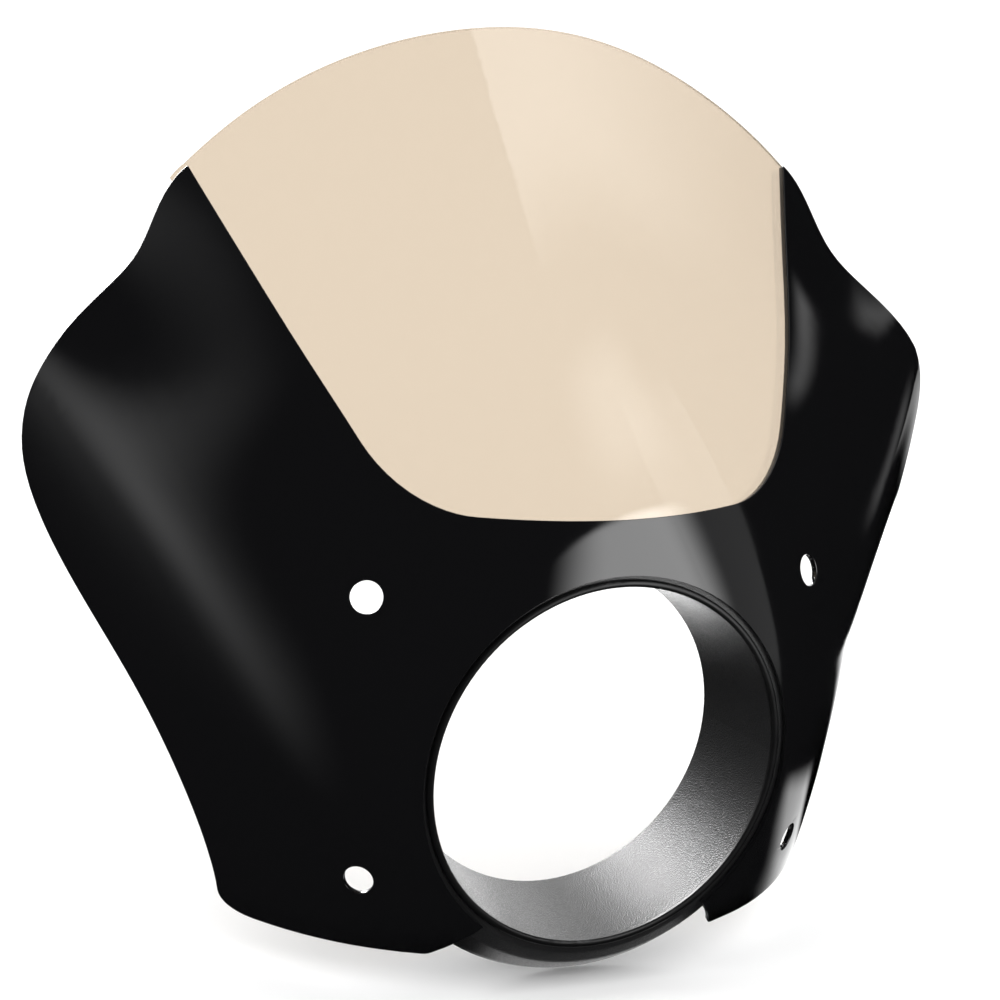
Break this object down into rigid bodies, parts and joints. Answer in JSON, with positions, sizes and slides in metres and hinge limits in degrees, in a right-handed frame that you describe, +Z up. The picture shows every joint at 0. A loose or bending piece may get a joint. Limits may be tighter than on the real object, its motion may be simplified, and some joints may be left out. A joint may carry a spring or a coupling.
{
  "type": "headlight fairing",
  "caption": "Swept-back motorcycle headlight fairing: arched gloss shell with side wings, tinted screen, round headlight opening and a tapered tube behind it.",
  "frame": {"origin": "on the headlight tube's axis, inside the bead round the mouth, in the plane where the shell meets the tube", "axes": "front faces -Y, tube axis along Y, +Z up, +X to the right as seen from the front"},
  "size_m": [0.4667, 0.1766, 0.4109],
  "materials": {
    "shell_gloss_black": "gloss black moulded sheet",
    "screen_tint": "clear sheet with a pale amber tint",
    "tube_grained_black": "black with a fine leather grain",
    "trim_rubber": "smooth black rubber"
  },
  "bodies": {
    "root": {"fairing_shell": "shell_gloss_black", "windscreen": "screen_tint", "headlight_tube": "tube_grained_black", "headlight_trim": "trim_rubber"}
  },
  "joints": []
}
